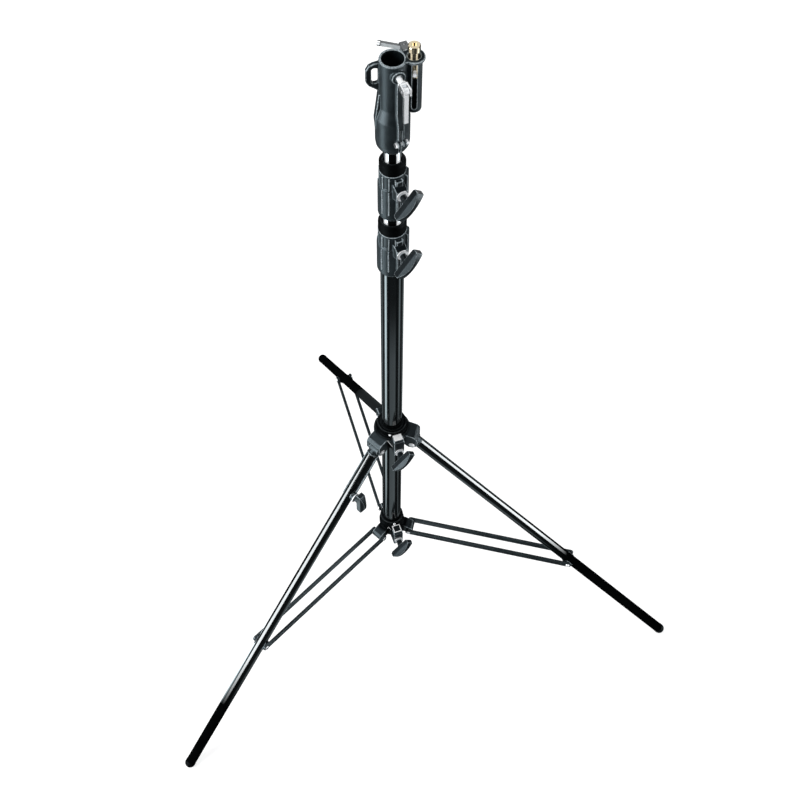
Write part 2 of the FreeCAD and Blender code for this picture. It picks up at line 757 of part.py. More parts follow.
def strap_pair(name, number):
    """Two flat straps, one on each side of the leg, with rounded ends and a sunk outer face."""
    placing = brace_frame(number)
    straps = []
    for side in (1, -1):
        tag = f"{name}_strap_{2 + side}"
        half = "strap_half_height"
        strap = slab(tag, [
            (0, half, (0, 0), 1), (0, f"-{half}"),
            ("brace_span", f"-{half}", ("brace_span", 0), 1), ("brace_span", half),
        ], "strap_thick")
        for spot, radius in ((0, "lower_pin_radius"), ("brace_span", "lower_pin_radius")):
            hole = strap.newObject("Sketcher::SketchObject", f"{tag}_hole_{0 if spot == 0 else 1}")
            hole.AttachmentSupport = [(plane_of(strap, "XZ_Plane"), "")]
            hole.MapMode = "FlatFace"
            reach = amount_of(spot)
            hole.addGeometry(Part.Circle(Vector(reach, 0, 0), UP, amount_of(f"{radius} + running_gap")))
            index = hole.addConstraint(Sketcher.Constraint("Radius", 0, amount_of(f"{radius} + running_gap")))
            hole.setExpression(f"Constraints[{index}]", bound(f"{radius} + running_gap"))
            pin_point(hole, 0, 3, spot, 0)
            pocket(strap, f"{tag}_drill_{0 if spot == 0 else 1}", hole, "strap_thick * 3")
        groove = outline(strap, tag + "_groove_outline", "XZ_Plane", [
            (14, -2.8), ("brace_span - 14", -2.8), ("brace_span - 14", 2.8), (14, 2.8),
        ], f"{-side} * strap_thick / 2")
        pocket(strap, tag + "_groove", groove, "2 * strap_groove")
        sideways = Placement(Vector(0, side * amount_of("strap_offset"), 0), Rotation())
        strap.Placement = placing * sideways
        straps.append(strap)
    node(group(name, straps))


def strap_rivets(name, number):
    """The far rivets: headed outside, and ending just short of the leg's saddle."""
    placing = brace_frame(number)
    inner = "saddle_half_width + 0.2"
    outer = "strap_offset + strap_thick / 2"
    rivets = []
    for side in (1, -1):
        tag = f"{name}_{2 + side}"
        shank = cylinder(tag + "_shank", "lower_pin_radius", f"{outer} + 0.1 - ({inner})",
                         ("brace_span", f"{side} * ({inner})", 0), NORTH * side)
        head = cone(tag + "_head", "pin_head_radius", "pin_head_radius - 1", "pin_head_thick",
                    ("brace_span", f"{side} * ({outer} + 0.05)", 0), NORTH * side)
        rivet = fuse(tag, [shank, head])
        rivet.Placement = placing
        rivets.append(rivet)
    node(group(name, rivets))


def braces():
    for name, number in (("levelling", 0), ("right", 1), ("rear", 2)):
        strap_pair(name + "_brace", number)
        strap_rivets(name + "_brace_rivets", number)


# ----------------------------------------------------------------------- riser locks

def riser_lock(prefix, seat_radius, rider_radius):
    """A clamp casting on top of one tube that grips the next, with its cap and liner."""
    base = f"{prefix}_lock_base"
    radius = f"{prefix}_lock_radius"
    seat_top = {"lower": "base_high", "upper": "mid_high"}[prefix] + f" - {base}"
    slim = f"{radius} - lock_step"
    shell = turned(prefix + "_lock_shell", [
        (10, 0), (f"{radius} - 2", 0), (radius, 4), (radius, "lock_step_height"),
        (slim, "lock_step_height + 3"), (slim, "lock_height - lock_cap_height"),
        (10, "lock_height - lock_cap_height"),
    ])
    boss_high = "lock_height - lock_cap_height"
    boss = slab(prefix + "_lock_boss", [
        (12, "lock_clamp_height - 16"), (f"{radius} + 1", "lock_clamp_height - 13"),
        (f"{radius} + lock_lug_reach", "lock_clamp_height - 8"),
        (f"{radius} + lock_lug_reach", "lock_clamp_height + 7"),
        (f"{radius} + 1", "lock_clamp_height + 11"), (12, "lock_clamp_height + 13"),
    ], 17)
    cheek = slab(prefix + "_lock_cheek", [
        (12, 30), (f"{radius} - 1.5", 30), (f"{radius} + 1.2", 34), (f"{radius} + 1.2", f"{boss_high} - 6"),
        (f"{radius} - 1.8", f"{boss_high} - 3"), (12, f"{boss_high} - 3"),
    ], 16)
    cheek.Placement = Placement(Vector(), Rotation(UP, amount_of("lock_clamp_azimuth + 58")))
    rib = slab(prefix + "_lock_rib", [
        (12, 8), (f"{radius} + 2.5", 8), (f"{radius} + 2.5", f"{boss_high} - 6"), (12, f"{boss_high} - 6"),
    ], 9)
    turn = Rotation(UP, amount_of("lock_clamp_azimuth"))
    boss.Placement = Placement(Vector(), turn)
    rib.Placement = Placement(Vector(), turn)
    ribs = [boss, rib, cheek]
    for number, swing in enumerate((-70, -95, -150, 100, 150)):
        flute = block(f"{prefix}_lock_flute_{number}", (f"{slim} - 3", -1.6, 6),
                      (f"{slim} + 1.2", 1.6, "lock_height - lock_cap_height - 4"))
        flute_turned = group(f"{prefix}_lock_flute_turned_{number}", [flute])
        flute_turned.Placement = Placement(Vector(), Rotation(UP, amount_of("lock_clamp_azimuth") + swing))
        ribs.append(flute_turned)
    solid = fuse(prefix + "_lock_solid", [shell] + ribs)
    seat = cylinder(prefix + "_lock_seat", f"{seat_radius} + fixed_gap", f"{seat_top} + 10.05", (0, 0, -10))
    liner_room = cylinder(prefix + "_lock_liner_room", f"{seat_radius}", "lock_height", (0, 0, 1))
    split = block(prefix + "_lock_split", (8, -1, -1), (60, 1, "lock_clamp_height - 12"))
    split_turned = group(prefix + "_lock_split_turned", [split])
    split_turned.Placement = Placement(Vector(), turn)
    screw_hole = cylinder(prefix + "_lock_screw_hole", "screw_radius + running_gap", 60,
                          (0, 0, "lock_clamp_height"), EAST)
    screw_turned = group(prefix + "_lock_screw_turned", [screw_hole])
    screw_turned.Placement = Placement(Vector(), turn)
    casting = cut(prefix + "_lock_casting", solid, [seat, liner_room, split_turned, screw_turned])
    casting.setExpression("Placement.Base.z", bound(base))
    node(casting)
    node(turned(prefix + "_lock_liner", [
        (f"{rider_radius} + running_gap", f"{base} + {seat_top} + 0.1"),
        (f"{seat_radius} - fixed_gap", f"{base} + {seat_top} + 0.1"),
        (f"{seat_radius} - fixed_gap", f"{base} + lock_height - lock_cap_height - 0.1"),
        (f"{rider_radius} + running_gap", f"{base} + lock_height - lock_cap_height - 0.1"),
    ]))
    rim = f"{slim} - 0.3"
    low = f"{base} + lock_height - lock_cap_height"
    high = f"{base} + lock_height"
    node(turned(prefix + "_lock_cap", [
        (f"{rider_radius} + 0.4", f"{low} + 0.05"), (rim, f"{low} + 0.05"), (rim, f"{high} - 5"),
        (f"{rim} - 3", high), (f"{rider_radius} + 1.4", high), (f"{rider_radius} + 0.4", f"{high} - 1.5"),
    ]))
    placing = tilted_knob_frame(amount_of("lock_clamp_azimuth"), amount_of(f"{base} + lock_clamp_height"),
                                amount_of(f"{radius} + lock_lug_reach"))
    clamp_knob(f"{prefix}_lock_knob", placing, "lock_knob_stem",
               f"{radius} + lock_lug_reach - {seat_radius} - 1.5")


def riser_locks():
    riser_lock("lower", "base_od / 2", "mid_od / 2")
    riser_lock("upper", "mid_od / 2", "top_od / 2")


# ------------------------------------------------------------------------------ head

def head_casting():
    """The head: socket on top, clamp seat below, carrying ear, gusset, ribs and stud case."""
    clamp_turn = Rotation(UP, amount_of("head_clamp_azimuth"))
    rib_turn = Rotation(UP, amount_of("head_rib_azimuth"))
    stud_turn = Rotation(UP, amount_of("stud_azimuth"))
    ear_turn = Rotation(UP, amount_of("stud_azimuth + 180"))
    form = turned("head_form", [
        (0, "head_low"), ("head_body_radius - 8", "head_low"), ("head_body_radius - 4", "head_low + 2.5"),
        ("head_body_radius - 1", "head_low + 8"), ("head_body_radius", "head_low + 15"),
        ("head_body_radius", "shoulder_low"),
        ("socket_radius", "shoulder_high"), ("socket_radius", "head_high - 1"),
        ("socket_radius - 1", "head_high"), (0, "head_high"),
    ])
    ear = slab("head_ear", [
        (14, "head_high - 3"), (24, "head_high - 4"), (30, "head_high - 7"), (34, "head_high - 14"),
        (34, "head_high - 33"), (30, "head_high - 39"), (18, "head_high - 48"), (14, "head_high - 48"),
    ], 6)
    ear_hole = slab("head_ear_hole", [
        (20.6, "head_high - 11"), (24.6, "head_high - 11"), (26.6, "head_high - 13"),
        (26.6, "head_high - 33"), (24.6, "head_high - 35"), (20.6, "head_high - 35"),
        (18.6, "head_high - 33"), (18.6, "head_high - 13"),
    ], 30)
    gusset = slab("head_gusset", [
        (12, "head_high - 50"), ("socket_radius + 1", "head_high - 52"),
        ("head_body_radius + 1", "shoulder_low - 4"), ("head_body_radius - 1", "head_low + 24"),
        (12, "head_low + 24"),
    ], 12)
    rib = slab("head_rib", [
        (12, "head_low + 12"), ("head_body_radius + 2.5", "head_low + 22"),
        ("head_body_radius + 2.5", "shoulder_low"), ("socket_radius + 4", "shoulder_high"),
        ("socket_radius + 4", "head_clamp_height - 8"), (12, "head_clamp_height - 8"),
    ], 9)
    boss = cylinder("head_clamp_boss", 9, 9, (12, 0, "head_clamp_height"), EAST)
    for piece, turn in ((ear, ear_turn), (gusset, ear_turn), (rib, rib_turn)):
        piece.Placement = Placement(Vector(), turn)
    ear_hole.Placement = Placement(Vector(), ear_turn)
    boss_turned = group("head_clamp_boss_turned", [boss])
    boss_turned.Placement = Placement(Vector(), clamp_turn)
    ring = cylinder("head_stud_ring", "stud_ring_radius", 4, ("stud_offset", 0, "head_high - 4"))
    case = cylinder("head_stud_case", "stud_case_radius", "head_high - 2 - stud_case_low",
                    ("stud_offset", 0, "stud_case_low"))
    web = block("head_stud_web", (8, -5, "stud_case_low + 6"), ("stud_offset", 5, "head_high - 2"))
    bridge = block("head_stud_bridge", (4, -11, "head_high - 4"), ("stud_offset", 11, "head_high"))
    stud_side = fuse("head_stud_side", [ring, case, web, bridge])
    stud_side.Placement = Placement(Vector(), stud_turn)
    back_boss = cylinder("head_back_boss", 8, 13, (6, 0, "stud_screw_height"), EAST)
    back_boss_turned = group("head_back_boss_turned", [back_boss])
    back_boss_turned.Placement = stud_screw_frame(0)
    pinch_lug = cylinder("head_pinch_lug", 4.6, "2 * pinch_half_length",
                         ("pinch_radius", "pinch_half_length", "pinch_height"), -NORTH)
    pinch_lug_turned = group("head_pinch_lug_turned", [pinch_lug])
    pinch_lug_turned.Placement = Placement(Vector(), rib_turn)
    solid = fuse("head_solid", [form, ear, gusset, rib, boss_turned, stud_side, back_boss_turned,
                                pinch_lug_turned])
    seat = cylinder("head_seat", "top_od / 2 + fixed_gap", "top_high + 1 - head_low + 10",
                    (0, 0, "head_low - 10"))
    socket = cylinder("head_socket", "socket_bore / 2", "socket_depth + 10",
                      (0, 0, "head_high - socket_depth"))
    stud_bore = cylinder("head_stud_bore", "stud_od / 2 + running_gap", "head_high - stud_case_low",
                         ("stud_offset", 0, "stud_case_low + 5"))
    slot = slot_opening("head_stud_slot")
    stud_way = group("head_stud_way", [stud_bore])
    stud_way.Placement = Placement(Vector(), stud_turn)
    split = block("head_split", (8, -1, "head_low - 5"), (60, 1, "shoulder_low - 6"))
    pinch_way = cylinder("head_pinch_way", "2.4 + fixed_gap", 60,
                         ("pinch_radius", 30, "pinch_height"), -NORTH)
    band_way = group("head_band_way", [split, pinch_way])
    band_way.Placement = Placement(Vector(), rib_turn)
    clamp_screw_way = cylinder("head_clamp_screw_way", "screw_radius + running_gap", 40,
                               (10, 0, "head_clamp_height"), EAST)
    clamp_way = group("head_clamp_way", [clamp_screw_way])
    clamp_way.Placement = Placement(Vector(), clamp_turn)
    back_screw_way = cylinder("head_back_screw_way", "screw_radius - 0.5 + running_gap", 40,
                              (2, 0, "stud_screw_height"), EAST)
    back_way = group("head_back_way", [back_screw_way])
    back_way.Placement = stud_screw_frame(0)
    node(cut("head_casting", solid, [seat, socket, stud_way, slot, band_way, clamp_way, back_way,
                                      ear_hole]))


def slot_opening(name):
    """The long window in the stud case that the stop screw rides in."""
    half = "stud_slot_width / 2"
    low = "stud_case_low + 9"
    high = "head_high - 8"
    cutter = slab(name, [
        (f"-({half})", low, (0, low), 1), (half, low), (half, high, (0, high), 1), (f"-({half})", high),
    ], 30)
    centre = outward(amount_of("stud_azimuth")) * amount_of("stud_offset")
    cutter.Placement = Placement(centre + Vector(amount_of("stud_slot_shift"), -17, 0), Rotation())
    return cutter


def stud_screw_frame(height):
    """A frame on the stud's axis whose X points out along the stud's clamp screw."""
    centre = outward(amount_of("stud_azimuth")) * amount_of("stud_offset")
    return Placement(centre + UP * height, Rotation(UP, amount_of("stud_screw_azimuth")))


def pinch_bolt():
    """The small bolt and nut across the split band that closes the head on the riser."""
    shank = cylinder("pinch_shank", 2.4, "2 * pinch_half_length + 5",
                     (0, "pinch_half_length + 2.5", 0), -NORTH)
    bolt_head = cylinder("pinch_bolt_head", 3.8, 2.6, (0, "-pinch_half_length - 0.05", 0), -NORTH)
    nut = cylinder("pinch_nut", 4.0, 2.6, (0, "pinch_half_length + 0.05", 0), NORTH)
    bolt = fuse("head_pinch_bolt", [shank, bolt_head, nut])
    placing = about_column(amount_of("head_rib_azimuth"), amount_of("pinch_height"))
    bolt.Placement = placing * Placement(Vector(amount_of("pinch_radius"), 0, 0), Rotation())
    node(bolt)


def head_stud():
    """The side stud: a turned spigot with a locking neck, and the stop screw in its side."""
    centre = outward(amount_of("stud_azimuth")) * amount_of("stud_offset")
    radius, neck = "stud_od / 2", "stud_neck_od / 2"
    neck_low, head_low = "head_high - 4", "stud_high - stud_head_high"
    stud = turned("stud", [
        (0, "stud_low"), (f"{radius} - 1", "stud_low"), (radius, "stud_low + 1"), (radius, neck_low),
        (neck, f"{neck_low} + 1.5"), (neck, f"{head_low} - 1.5"), (radius, head_low),
        (radius, "stud_high - 1"), (f"{radius} - 1", "stud_high"), (3.2, "stud_high"),
        (3.2, "stud_high - 10"), (0, "stud_high - 10"),
    ])
    stud.Placement = Placement(centre, Rotation())
    node(stud)
    shank = cylinder("stop_screw_shank", 2.2, 5, ("stud_slot_shift", f"-({radius} + 0.02)", 0), -NORTH)
    head = cylinder("stop_screw_head", 2.8, 2.5, ("stud_slot_shift", f"-({radius} + 5.02)", 0), -NORTH)
    screw = fuse("stud_stop_screw", [shank, head])
    screw.Placement = Placement(centre + UP * amount_of("stop_screw_height"), Rotation())
    node(screw)


def hinged_screw(name, radius, inner, outer, fork_length):
    """A clamp screw that ends in a fork, along X from inner to outer, fork beyond."""
    shank = cylinder(name + "_shank", radius, f"({outer}) - ({inner})", (inner, 0, 0), EAST)
    collar = cylinder(name + "_collar", 6, 2.5, (f"({outer}) - 2.5", 0, 0), EAST)
    fork = block(name + "_fork", (outer, -5.5, -5), (f"({outer}) + {fork_length}", 5.5, 5))
    gap = block(name + "_gap", (f"({outer}) + 4", -3.1, -20), (f"({outer}) + {fork_length} + 9", 3.1, 20))
    hole = cylinder(name + "_hole", "1.5 + running_gap", 40,
                    (f"({outer}) + {fork_length} - 5", 20, 0), -NORTH)
    return cut(name, fuse(name + "_solid", [shank, collar, fork]), [gap, hole])


def clamp_lever(name, length):
    """A flat lever with an eye, hanging along -Z from its pin, and the pin itself."""
    eye = cylinder(name + "_eye", 4.6, 6, (0, 3, 0), -NORTH)
    blade = block(name + "_blade", (-1.8, -3, f"-({length})"), (1.8, 3, 0))
    pin = cylinder(name + "_pin", 1.5, 12.4, (0, 6.2, 0), -NORTH)
    return fuse(name, [eye, blade, pin])


def head_clamps():
    """The two lever screws: one grips a spigot in the socket, one grips the stud."""
    front = Placement(UP * amount_of("head_clamp_height"), Rotation(UP, amount_of("head_clamp_azimuth")))
    screw = hinged_screw("socket_screw", "screw_radius", "socket_bore / 2 + 0.4", 34, 15)
    screw.Placement = front
    node(screw)
    lever = clamp_lever("socket_lever", 52)
    lever.Placement = front * Placement(Vector(44, 0, 0), Rotation())
    node(lever)
    back = stud_screw_frame(amount_of("stud_screw_height"))
    quarter = Rotation(EAST, 90)
    back_screw = hinged_screw("stud_screw", "screw_radius - 0.5", "stud_od / 2 + 0.4", 24, 15)
    back_screw.Placement = back * Placement(Vector(), quarter)
    node(back_screw)
    ferrule = cylinder("stud_lever_ferrule", 3.6, 4, (0, 0, -34))
    back_lever = fuse("stud_lever", [clamp_lever("stud_lever_arm", 32), ferrule])
    blade = outward(amount_of("stud_lever_azimuth"))
    lying = Rotation(blade.cross(UP), UP, -blade, "XYZ")
    back_lever.Placement = Placement(back.multVec(Vector(34, 0, 0)), lying)
    node(back_lever)


def head():
    head_casting()
    pinch_bolt()
    head_stud()
    head_clamps()


def column_group():
    column_tubes()
    riser_locks()


column_group()
head()
collars()
legs()
braces()
doc.recompute()

failed = [item.Name for item in doc.Objects if "Invalid" in item.State or "Error" in item.State]
bad = [item.Label for item in nodes if item.Shape.isNull() or not item.Shape.isValid()]
bad += [item.Label for item in nodes if any(solid.Volume <= 0 for solid in item.Shape.Solids)]
if failed or bad:
    raise RuntimeError(f"failed features: {failed}; bad shapes: {bad}")

os.makedirs("parts", exist_ok=True)
for piece in nodes:
    piece.Shape.exportStep(f"parts/{piece.Label}.step")
print("wrote", len(nodes), "parts; leg angle", round(LEG_ANGLE, 3), "brace rise", round(BRACE_ANGLE, 3))
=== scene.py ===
import json
import math

import bmesh
import bpy
from mathutils import Matrix, Vector


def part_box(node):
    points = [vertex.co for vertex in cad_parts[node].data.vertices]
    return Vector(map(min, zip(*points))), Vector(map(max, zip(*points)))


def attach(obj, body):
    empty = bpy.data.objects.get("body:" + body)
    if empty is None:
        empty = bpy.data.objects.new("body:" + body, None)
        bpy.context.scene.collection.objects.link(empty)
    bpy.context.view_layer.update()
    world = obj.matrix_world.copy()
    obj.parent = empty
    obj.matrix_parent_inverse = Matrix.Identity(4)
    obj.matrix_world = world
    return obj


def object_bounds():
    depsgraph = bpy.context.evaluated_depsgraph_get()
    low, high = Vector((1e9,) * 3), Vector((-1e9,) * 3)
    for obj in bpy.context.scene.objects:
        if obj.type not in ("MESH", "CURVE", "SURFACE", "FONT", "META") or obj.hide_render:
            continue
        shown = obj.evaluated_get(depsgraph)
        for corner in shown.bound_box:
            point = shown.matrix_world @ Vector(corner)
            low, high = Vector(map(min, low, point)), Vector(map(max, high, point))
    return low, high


# Folding lighting stand: finishes, rounded edges, small fittings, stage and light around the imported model.
# Metres, +Z up, the column's axis at the origin; the sizes of fittings are in millimetres, angles in degrees.

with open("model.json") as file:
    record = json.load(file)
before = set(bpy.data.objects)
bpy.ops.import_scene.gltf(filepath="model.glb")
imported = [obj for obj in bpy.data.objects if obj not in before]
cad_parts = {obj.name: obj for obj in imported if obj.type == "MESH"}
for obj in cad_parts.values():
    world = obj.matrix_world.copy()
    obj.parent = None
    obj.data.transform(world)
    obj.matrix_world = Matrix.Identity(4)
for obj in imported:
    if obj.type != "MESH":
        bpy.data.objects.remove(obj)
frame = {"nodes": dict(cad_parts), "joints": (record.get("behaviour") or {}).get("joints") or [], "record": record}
cad_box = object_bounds()
nodes = frame["nodes"]
joints = {joint["name"]: joint for joint in frame["joints"]}
scene = bpy.context.scene

MM = 0.001
UP = Vector((0, 0, 1))

# painted shade: where the gloss fades out on the legs as their highlight ends, in metres from the column, and how
# much sooner it does towards +X
HIGHLIGHT_END_REACH = (0.335, 0.405)
EASTWARD_SHARE = 0.18
# the painted shadow on the collars close round the column: how strong, between which radii it ends and above which
# heights there is none
HUB_SHADOW_STRENGTH = 0.92
HUB_SHADOW_REACH = (0.0285, 0.0335)
HUB_SHADOW_TOP = (0.70, 0.72)
# the painted-reflection tone of a level face, and the slopes between which a face counts as level
LEVEL_TONE = 0.2
LEVEL_SLOPE = (0.80, 0.92)
# the edge rounding at which coats get rubbed edges with a painted highlight and metals a painted shade on their
# rims, in metres
EDGE_MARK_RADIUS = 0.8 * MM
# the pointiness of a finely meshed casting between which an edge is rubbed and gets a painted highlight
CREST_RANGE = (0.512, 0.542)


# ------------------------------------------------------------------ node trees

class Shader:
    """One material's node tree."""

    def __init__(self, name):
        self.material = bpy.data.materials.new(name)
        self.material.use_nodes = True
        self.tree = self.material.node_tree
        self.surface = self.tree.nodes["Principled BSDF"]
        self.coords = self.add("ShaderNodeTexCoord").outputs["Object"]

    def add(self, kind, inputs=None, **settings):
        """A node with its settings and inputs; an input is a value or another node's output."""
        node = self.tree.nodes.new(kind)
        for key, value in settings.items():
            setattr(node, key, value)
        for key, value in (inputs or {}).items():
            if isinstance(value, bpy.types.NodeSocket):
                self.tree.links.new(value, node.inputs[key])
            else:
                node.inputs[key].default_value = value
        return node

    def feed(self, name, value):
        """Set one input of the surface."""
        if isinstance(value, bpy.types.NodeSocket):
            self.tree.links.new(value, self.surface.inputs[name])
        else:
            self.surface.inputs[name].default_value = value

    def noise(self, scale, detail, roughness, stretch=None):
        """A noise pattern fixed to the object; stretch scales it along X, Y and Z."""
        vector = self.coords
        if stretch:
            vector = self.add("ShaderNodeMapping", {"Vector": vector, "Scale": stretch}).outputs[0]
        return self.add("ShaderNodeTexNoise", {
            "Vector": vector, "Scale": scale, "Detail": detail, "Roughness": roughness,
        }).outputs["Fac"]

    def spread(self, value, low, high, start=0.35, end=0.65):
        """Map a value from one range onto another; the usual source range is that of a noise."""
        return self.add("ShaderNodeMapRange", {
            "Value": value, "From Min": start, "From Max": end, "To Min": low, "To Max": high,
        }).outputs[0]

    def blend(self, factor, first, second):
        """A colour between two others."""
        mix = self.add("ShaderNodeMix", data_type="RGBA")
        for key, value in (("Factor", factor), ("A", first), ("B", second)):
            socket = next(item for item in mix.inputs if item.name == key and item.enabled)
            if isinstance(value, bpy.types.NodeSocket):
                self.tree.links.new(value, socket)
            else:
                socket.default_value = value
        return next(item for item in mix.outputs if item.enabled)

    def maths(self, operation, first, second=0.0):
        return self.add("ShaderNodeMath", {0: first, 1: second}, operation=operation).outputs[0]

    def product(self, *factors):
        """The factors multiplied together."""
        result = factors[0]
        for factor in factors[1:]:
            result = self.maths("MULTIPLY", result, factor)
        return result

    def vector_maths(self, operation, *vectors):
        return self.add("ShaderNodeVectorMath", dict(enumerate(vectors)), operation=operation).outputs

    def level(self, vector):
        """A vector without its height."""
        return self.vector_maths("MULTIPLY", vector, (1.0, 1.0, 0.0))["Vector"]

    def length(self, vector):
        return self.vector_maths("LENGTH", vector)["Value"]

    def parts(self, vector):
        """A vector's X, Y and Z."""
        return self.add("ShaderNodeSeparateXYZ", {0: vector}).outputs

    def bump(self, height, distance):
        return self.add("ShaderNodeBump", {"Height": height, "Distance": distance}).outputs[0]

    def edges(self, radius):
        """Rises towards 1 on sharp edges, as if they were rounded at this radius."""
        rounded = self.add("ShaderNodeBevel", {"Radius": radius}, samples=4).outputs[0]
        flat = self.add("ShaderNodeNewGeometry").outputs["Normal"]
        agreement = self.vector_maths("DOT_PRODUCT", rounded, flat)["Value"]
        return self.spread(agreement, 1.0, 0.0, 0.80, 0.995)

    def crests(self):
        """Rises to 1 along the outer edges of a finely meshed casting."""
        point = self.add("ShaderNodeNewGeometry").outputs["Pointiness"]
        return self.spread(point, 0.0, 1.0, *CREST_RANGE)

    def facing(self):
        """0 where the surface faces the eye, 1 at its outline."""
        return self.add("ShaderNodeLayerWeight", {"Blend": 0.5}).outputs["Facing"]

    def highlight_share(self):
        """1 on the column and the upper legs, falling to 0 near the floor, sooner towards +X and +Y: painted shade
        where the legs' highlight ends.
        """
        parts = self.parts(self.coords)
        reach = self.length(self.level(self.coords))
        eastward = self.maths("MULTIPLY", parts["X"], EASTWARD_SHARE)
        northward = self.maths("MAXIMUM", parts["Y"], 0.0)
        place = self.maths("ADD", self.maths("ADD", reach, eastward), northward)
        return self.spread(place, 1.0, 0.0, *HIGHLIGHT_END_REACH)

    def hub_shadow(self):
        """Painted shadow: 1 on the collars close round the column, 0 further out and higher up."""
        radius = self.length(self.level(self.coords))
        near = self.spread(radius, HUB_SHADOW_STRENGTH, 0.0, *HUB_SHADOW_REACH)
        below = self.spread(self.parts(self.coords)["Z"], 1.0, 0.0, *HUB_SHADOW_TOP)
        return self.maths("MULTIPLY", near, below)

    def turned_away(self):
        """For an upright tube: 0 along the middle that faces the eye, 1 along its outline."""
        surface = self.add("ShaderNodeNewGeometry").outputs
        outward, incoming = (
            self.vector_maths("NORMALIZE", self.level(surface[direction]))["Vector"]
            for direction in ("Normal", "Incoming")
        )
        towards = self.vector_maths("DOT_PRODUCT", outward, incoming)["Value"]
        steepness = self.maths("ABSOLUTE", self.parts(surface["Normal"])["Z"])
        upright = self.spread(steepness, 1.0, 0.0, *LEVEL_SLOPE)
        beside = self.maths("SUBTRACT", 1.0 - LEVEL_TONE, towards)
        return self.maths("ADD", LEVEL_TONE, self.maths("MULTIPLY", upright, beside))

    def ramp(self, value, stops):
        """A grey level for each of the (position, level) stops."""
        node = self.add("ShaderNodeValToRGB", {0: value})
        elements = node.color_ramp.elements
        while len(elements) < len(stops):
            elements.new(0.5)
        for element, (position, level) in zip(elements, stops):
            element.position = position
            element.color = (level, level, level, 1.0)
        return node.outputs[0]


def shade(colour, factor=1.0):
    """A colour with its alpha, made lighter or darker by a factor."""
    return (colour[0] * factor, colour[1] * factor, colour[2] * factor, 1.0)


COOL = (0.72, 0.90, 1.0)
# pale rubbed edges, lightened further as a painted highlight
RUBBED_AND_HIGHLIT = shade((0.54, 0.62, 0.66))
DUST = shade((0.18, 0.20, 0.21))
# painted shadow close round the column on the collars
SHADOW_BLACK = shade((0.0009, 0.0011, 0.0012))
# painted shade on the rims of metal parts
PAINTED_RIM_BLACK = shade((0.020, 0.024, 0.026))
# painted dark reflection in metals, where their painted tones are low
PAINTED_REFLECTION_BLACK = shade((0.008, 0.009, 0.010))


def coated(name, colour, roughness, grain, grain_height, coat=0.0, wear_and_highlight=0.0, specular=0.5, mottle=0.35,
           dense=False, dust=0.06, gloss_fades=False, tinge=COOL):
    """Painted, moulded or powder-coated surfaces: fine grain, patchy sheen, rubbed edges with a painted highlight.

    dense says that the mesh is a fine even one and brings the painted shadow round the column, and dulled that the
    gloss fades along the legs as painted shade where their highlight ends."""
    shader = Shader(name)
    patches = shader.noise(38.0, 4.0, 0.6)
    fine = shader.noise(grain, 3.0, 0.6)
    specks = shader.noise(260.0, 6.0, 0.75)
    dark, light = shade(colour, 1 - mottle), shade(colour, 1 + mottle)
    tint = shader.blend(shader.spread(patches, 0.0, 1.0), dark, light)
    tint = shader.blend(shader.spread(specks, 0.0, dust, 0.56, 0.80), tint, DUST)
    sheen = shader.spread(patches, roughness * 0.86, roughness * 1.16)
    if wear_and_highlight:
        # rubbed edges with a painted highlight
        rub_and_highlight = shader.crests() if dense else shader.edges(EDGE_MARK_RADIUS)
        broken = shader.spread(shader.noise(420.0, 5.0, 0.7), 0.35, 1.0, 0.38, 0.58)
        rub_and_highlight = shader.product(rub_and_highlight, broken, wear_and_highlight)
        tint = shader.blend(rub_and_highlight, tint, RUBBED_AND_HIGHLIT)
        sheen = shader.maths("SUBTRACT", sheen, shader.maths("MULTIPLY", rub_and_highlight, 0.10))
    if dense:
        # painted shadow round the column: dark and without sheen
        shadow_mask = shader.hub_shadow()
        tint = shader.blend(shadow_mask, tint, SHADOW_BLACK)
        specular = shader.maths("MULTIPLY", shader.maths("SUBTRACT", 1.0, shadow_mask), specular)
    if gloss_fades:
        # painted shade: no gloss where the legs' highlight ends
        lit_share = shader.highlight_share()
        specular = shader.maths("MULTIPLY", lit_share, specular)
        coat = shader.maths("MULTIPLY", lit_share, coat)
    shader.feed("Base Color", tint)
    shader.feed("Roughness", sheen)
    shader.feed("Specular IOR Level", specular)
    shader.feed("Specular Tint", shade(tinge))
    shader.feed("Coat Weight", coat)
    shader.feed("Coat Roughness", 0.04)
    shader.feed("Normal", shader.bump(fine, grain_height))
    return shader.material


def metal(name, colour, roughness, brush, tarnish, tones, glow, metallic=1.0, upright=False, outline=0.0):
    """Bare and plated metals: patchy polish, hairlines along a direction, faint tarnish, painted reflections.

    tones says how bright its painted reflection is from its middle to its outline, glow how much of it glows, and
    outline how dark the painted shade on its rims is."""
    shader = Shader(name)
    patches = shader.noise(40.0, 4.0, 0.55)
    hair = shader.noise(900.0, 2.0, 0.5, brush)
    dark = shade(colour, 1 - tarnish * 2.2)
    tint = shader.blend(shader.spread(patches, 0.0, 1.0, 0.30, 0.60), dark, shade(colour))
    # painted shade on the rims
    if outline:
        rim = shader.maths("MULTIPLY", shader.edges(EDGE_MARK_RADIUS), outline)
        tint = shader.blend(rim, tint, PAINTED_RIM_BLACK)
    # painted reflection: brightness set by the angle to the eye, glowing where bright
    turned = shader.turned_away() if upright else shader.facing()
    tone = shader.ramp(turned, tones)
    tint = shader.blend(tone, PAINTED_REFLECTION_BLACK, tint)
    shader.feed("Emission Color", tint)
    shader.feed("Emission Strength", shader.maths("MULTIPLY", tone, glow))
    polish = shader.spread(patches, roughness * 1.25, roughness * 0.85)
    rough = shader.maths("ADD", polish, shader.spread(hair, 0.0, roughness * 0.35))
    shader.feed("Metallic", metallic)
    shader.feed("Base Color", tint)
    shader.feed("Roughness", rough)
    shader.feed("Normal", shader.bump(hair, 0.0001 * MM))
    return shader.material


